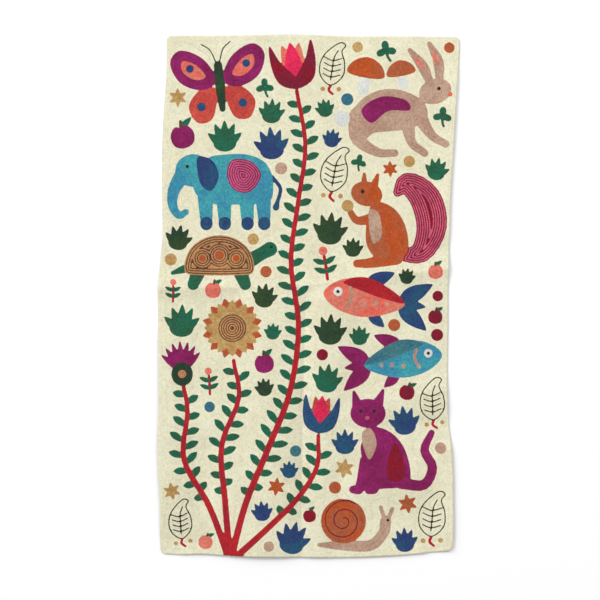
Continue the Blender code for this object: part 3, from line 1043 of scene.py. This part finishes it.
# One loop of chain stitch as the shader draws it. Across, 0 is the crown and 2 a skirt's end.
loop = {
    "slant": 0.42,             # leans back by this part of a stitch for each step across
    "openAcross": (0.05, 0.42), "openAlong": (0.45, 0.95),     # where the opening fades
    "openDepth": 0.7,
    "edge": (0.45, 0.95), "edgeShade": 0.7,                     # painted shade towards the next row
    "seamShade": 2.0, "round": 0.6,  # powers of the hump, for the painted shade at its seam and for its height
    # noise: scale, detail, roughness
    "fibre": (1500.0, 3.0, 0.65), "drift": (11.0, 3.0, 0.6), "patch": (55.0, 2.0, 0.5),
    "drifts": (0.36, 0.64),    # the part of the noise that leads from one dye to the other
    # how much each of them changes the dye and the lightness
    "dyeByRow": 0.22, "dyeByStitch": 0.7,
    "lightByPatch": 0.03, "lightByRow": 0.02, "lightByFibre": 0.22,
    "numbers": 53.0,           # spreads the rows' tones over the chance of each stitch
    "bump": {"Strength": 0.55, "Distance": 0.0009},
}


def chainStitchGroup():
    # Along a row u counts stitches, across it v goes from skirt to skirt. Each loop
    # slants back from the crown to both sides, so its hump is the sine of pi times
    # the fraction of u less a share of the distance from the crown. The two strands
    # part round an opening at its middle. Painted shade darkens the opening, the
    # joints between loops and the sides towards the next row. Dye, row and stitch
    # vary the colour.
    group = bpy.data.node_groups.new("chainStitch", "ShaderNodeTree")
    for name, kind in (("Dye", "Color"), ("Dye wander", "Color"), ("Unevenness", "Float"),
                       ("Painted shade", "Float"), ("Fuzz", "Float")):
        group.interface.new_socket(name, in_out="INPUT", socket_type="NodeSocket" + kind)
    for name, kind in (("Colour", "Color"), ("Normal", "Vector")):
        group.interface.new_socket(name, in_out="OUTPUT", socket_type="NodeSocket" + kind)
    into = group.nodes.new("NodeGroupInput").outputs
    out = group.nodes.new("NodeGroupOutput").inputs
    place = put(group, "TexCoord").outputs["Object"]
    uv = put(group, "SeparateXYZ", {0: put(group, "UVMap", uv_map="stitch").outputs[0]}).outputs
    tone = put(group, "Attribute", attribute_name="tone").outputs["Fac"]
    do = partial(maths, group)
    less, times, blend = (partial(do, kind) for kind in ("SUBTRACT", "MULTIPLY", "MULTIPLY_ADD"))
    side = times(do("ABSOLUTE", less(uv[1], 0.5)), 4.0)
    slant = less(uv[0], times(side, loop["slant"]))
    hump = do("SINE", times(do("FRACT", slant), np.pi))
    number = put(group, "CombineXYZ", {0: do("FLOOR", slant), 1: times(tone, loop["numbers"])}).outputs[0]
    chance = put(group, "TexWhiteNoise", {"Vector": number}, noise_dimensions="3D").outputs[1]
    chance = put(group, "SeparateColor", {0: chance}).outputs
    opening = times(ramp(group, side, *loop["openAcross"], 1, 0), ramp(group, hump, *loop["openAlong"]))
    fibre, drift, patch = (noise(group, place, *loop[kind]) for kind in ("fibre", "drift", "patch"))
    wander = do("ADD", ramp(group, drift, *loop["drifts"]), times(tone, loop["dyeByRow"]))
    wander = blend(less(chance[1], 0.5), loop["dyeByStitch"], wander)
    dyes = {0: wander, 6: into["Dye"], 7: into["Dye wander"]}
    dyed = put(group, "Mix", dyes, data_type="RGBA").outputs[2]
    light = blend(less(chance[0], 0.5), into["Unevenness"], 1.0)
    light = blend(less(patch, 0.5), loop["lightByPatch"], light)
    light = blend(tone, loop["lightByRow"], light)
    light = blend(less(fibre, 0.5), loop["lightByFibre"], light)
    # Painted shade: the loop is darker at its joints, in its opening and towards the next row
    seamShade = do("POWER", less(1.0, hump), loop["seamShade"])
    dark = do("MAXIMUM", opening, ramp(group, side, *loop["edge"], 0, loop["edgeShade"]))
    dark = times(do("MAXIMUM", seamShade, dark), into["Painted shade"])
    light = times(light, less(1.0, dark))
    shaded = put(group, "VectorMath", {0: dyed, "Scale": light}, operation="SCALE").outputs[0]
    height = less(do("POWER", hump, loop["round"]), times(opening, loop["openDepth"]))
    height = blend(fibre, into["Fuzz"], height)
    bump = put(group, "Bump", {**loop["bump"], "Height": height})
    group.links.new(shaded, out["Colour"])
    group.links.new(bump.outputs[0], out["Normal"])
    return group


wool = {
    # the first value is the strength of the painted shade in the stitches' dips and openings
    "paintedShade": 0.36, "fuzz": 0.5, "uneven": 0.38, "unevenPale": 0.16, "pale": ("cream", "paleGrey"),
    "finish": {"Roughness": 0.92, "Specular IOR Level": 0.10, "Sheen Weight": 0.05, "Sheen Roughness": 0.5},
}


def newMaterial(name, finish):
    # The finish gives values of the shader's sockets.
    material = bpy.data.materials.new(name)
    material.use_nodes = True
    shader = material.node_tree.nodes["Principled BSDF"]
    setInputs(shader, finish)
    return material, material.node_tree, shader


def woolMaterial(yarn, group):
    material, tree, shader = newMaterial("wool_" + yarn, wool["finish"])
    dye, wander = yarnDyes[yarn]
    uneven = wool["unevenPale" if yarn in wool["pale"] else "uneven"]
    loops = tree.nodes.new("ShaderNodeGroup")
    loops.node_tree = group
    setInputs(loops, {"Dye": linearColour(dye), "Dye wander": linearColour(wander),
                      "Painted shade": wool["paintedShade"], "Fuzz": wool["fuzz"], "Unevenness": uneven})
    tree.links.new(loops.outputs["Colour"], shader.inputs["Base Color"])
    tree.links.new(loops.outputs["Normal"], shader.inputs["Normal"])
    return material


cotton = {
    "colour": (222, 215, 192),
    "thread": 0.0011,
    "slub": (260.0, 3.0, 0.6),     # noise: scale, detail, roughness
    "slubHeight": 0.6,
    "light": 0.80, "shadeByThread": 0.10, "lightBySlub": 0.24,
    "bump": {"Strength": 0.4, "Distance": 0.0004},
    "finish": {"Roughness": 0.9, "Specular IOR Level": 0.2},
}


def cottonMaterial():
    # Plain weave: threads one way are the rounded sine of x, threads the other way
    # of y, and which of them lies on top changes from crossing to crossing.
    material, tree, shader = newMaterial("ground_cotton", cotton["finish"])
    do = partial(maths, tree)
    place = put(tree, "TexCoord").outputs["Object"]
    at = put(tree, "SeparateXYZ", {0: place}).outputs
    across, along = (do("SINE", do("MULTIPLY", at[k], np.pi / cotton["thread"])) for k in (0, 1))
    over = do("GREATER_THAN", do("MULTIPLY", across, along), 0.0)
    weave = put(tree, "Mix", {0: over, 2: do("ABSOLUTE", across), 3: do("ABSOLUTE", along)}).outputs[0]
    slub = noise(tree, place, *cotton["slub"])
    height = do("MULTIPLY_ADD", slub, cotton["slubHeight"], weave)
    # Painted shade: the cloth is lighter on the threads' crowns and darker between them
    light = do("MULTIPLY_ADD", weave, cotton["shadeByThread"], cotton["light"])
    light = do("MULTIPLY_ADD", slub, cotton["lightBySlub"], light)
    dyed = {0: linearColour(cotton["colour"])[:3], "Scale": light}
    colour = put(tree, "VectorMath", dyed, operation="SCALE")
    bump = put(tree, "Bump", {**cotton["bump"], "Height": height})
    tree.links.new(colour.outputs[0], shader.inputs["Base Color"])
    tree.links.new(bump.outputs[0], shader.inputs["Normal"])
    return material


# The rug is put together.

pattern = drawPattern()
points, owner, rowYarn, rowClosed = layRows(pattern)
rows = wholeStitches(points, owner, rowYarn, rowClosed)
print("rows laid:", rows["count"], "stitches:", int((rows["index"] % 2).sum()))
sections = stitchSections(rows)
tones = draws.normal(0, stitch["tone"], rows["count"]).clip(-1, 1)

groundCloth = makeCloth()
groundCloth.data.materials.append(cottonMaterial())
stitchGroup = chainStitchGroup()
pieceLimit = 24000         # stitches in one piece, so that it keeps below 200,000 triangles
rowMiddle = np.bincount(rows["row"], rows["y"]) / np.bincount(rows["row"])
stitched = []
for yarn in yarnNames:
    material = woolMaterial(yarn, stitchGroup)
    ofYarn = rows["yarn"] == yarnIndex[yarn]
    if not ofYarn.any():
        continue
    # a yarn's rows in order from the bottom of the rug, cut into pieces of like size
    mine = np.unique(rows["row"][ofYarn])
    mine = mine[np.argsort(rowMiddle[mine])]
    length = np.bincount(rows["row"], minlength=rows["count"])[mine].cumsum()
    parts = int(np.ceil(length[-1] / 2 / pieceLimit))
    share = np.minimum((length - 1) * parts // length[-1], parts - 1)
    for k in range(parts):
        inPart = np.zeros(rows["count"], bool)
        inPart[mine[share == k]] = True
        name = "stitch_" + yarn + (f"_{k + 1}" if parts > 1 else "")
        thing = rowPiece(name, rows, sections, inPart[rows["row"]], tones)
        thing.data.materials.append(material)
        stitched.append(thing)
        print(name, 2 * len(thing.data.polygons), "triangles")

for thing in [groundCloth] + stitched:
    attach(thing, "root")
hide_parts("rug")
faces = sum(len(thing.data.polygons) for thing in [groundCloth] + stitched)
print("rug made, triangles in all:", 2 * faces)


# The studio: floor, light and camera.

studio = {
    "floor": {"Base Color": (0.795, 0.795, 0.795, 1), "Roughness": 0.95, "Specular IOR Level": 0.05},
    "floorHalf": 30.0, "floorUnder": 0.0004,            # half its width, and how far below the rug
    # name, place, size and power
    "lights": (("key_light", (-17.2, 13.2, 10.4), 14.0, 6700.0),
               ("fill_light", (3.2, 4.4, 5.4), 4.0, 215.0)),
    "sky": 0.62,
    "lens": 85.0, "sensor": 36.0,                       # in millimetres
    "frameWidth": 1.757, "frameHeight": 0.005,          # the view's width, and at what height
    "viewMiddle": (-0.0256, -0.0124),
}


def areaLight(name, at, size, power):
    # A square light that looks at the middle of the rug.
    lamp = bpy.data.lights.new(name, "AREA")
    lamp.size = size
    lamp.energy = power
    holder = addObject(name, lamp)
    holder.location = at
    holder.rotation_euler = (-Vector(at)).to_track_quat("-Z", "Y").to_euler()


half, under = studio["floorHalf"], studio["floorUnder"]
floorPoints = np.array([(x * half, y * half, -under) for x, y in ((-1, -1), (1, -1), (1, 1), (-1, 1))])
floor = makeMesh("floor", floorPoints, np.array([[0, 1, 2, 3]]))
floor.data.materials.append(newMaterial("studio_floor", studio["floor"])[0])

for light in studio["lights"]:
    areaLight(*light)
world = bpy.data.worlds.new("studio")
world.use_nodes = True
setInputs(world.node_tree.nodes["Background"], {"Color": (1, 1, 1, 1), "Strength": studio["sky"]})
bpy.context.scene.world = world
bpy.context.scene.view_settings.view_transform = "Standard"

lens = bpy.data.cameras.new("camera")
lens.lens = studio["lens"]
lens.sensor_width = studio["sensor"]
camera = addObject("camera", lens)
away = studio["frameWidth"] * studio["lens"] / studio["sensor"]
camera.location = (*studio["viewMiddle"], away + studio["frameHeight"])
bpy.context.scene.camera = camera
print("floor, light and camera set")
